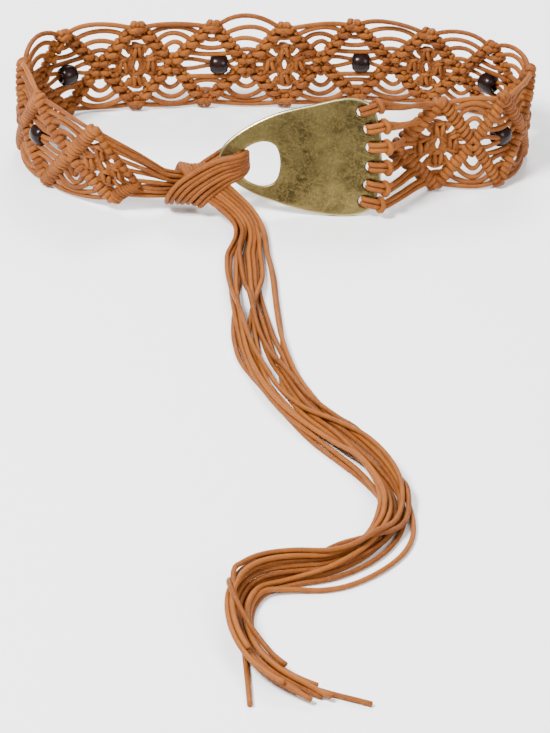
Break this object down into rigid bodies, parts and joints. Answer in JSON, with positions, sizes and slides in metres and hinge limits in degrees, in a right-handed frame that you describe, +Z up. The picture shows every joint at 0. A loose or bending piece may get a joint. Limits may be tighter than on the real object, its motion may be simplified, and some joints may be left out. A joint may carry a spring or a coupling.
{
  "type": "rope belt",
  "caption": "Openwork waist belt knotted from waxed cord, with dark wooden beads, a teardrop brass plate buckle, a half hitch and long loose ends lying on the surface",
  "frame": {"origin": "on the surface it stands on, below the middle of the closed loop without its free ends", "axes": "+X along the loop's width, from the knot to the wide end of the plate; +Y from the plate to the back of the loop; +Z up"},
  "size_m": [0.302, 0.5902, 0.069],
  "materials": {
    "cord": "waxed caramel cord",
    "wood": "dark, glossy",
    "brass": "aged, lightly scratched"
  },
  "bodies": {
    "root": {"cord_net": "cord", "wood_bead_1": "wood", "wood_bead_2": "wood", "wood_bead_3": "wood", "wood_bead_4": "wood", "wood_bead_5": "wood", "wood_bead_6": "wood", "buckle_plate": "brass", "cord_loop_1": "cord", "cord_loop_2": "cord", "cord_loop_3": "cord", "cord_loop_4": "cord", "cord_loop_5": "cord", "cord_loop_6": "cord", "gather_knot": "cord", "tail_cords": "cord"}
  },
  "joints": []
}
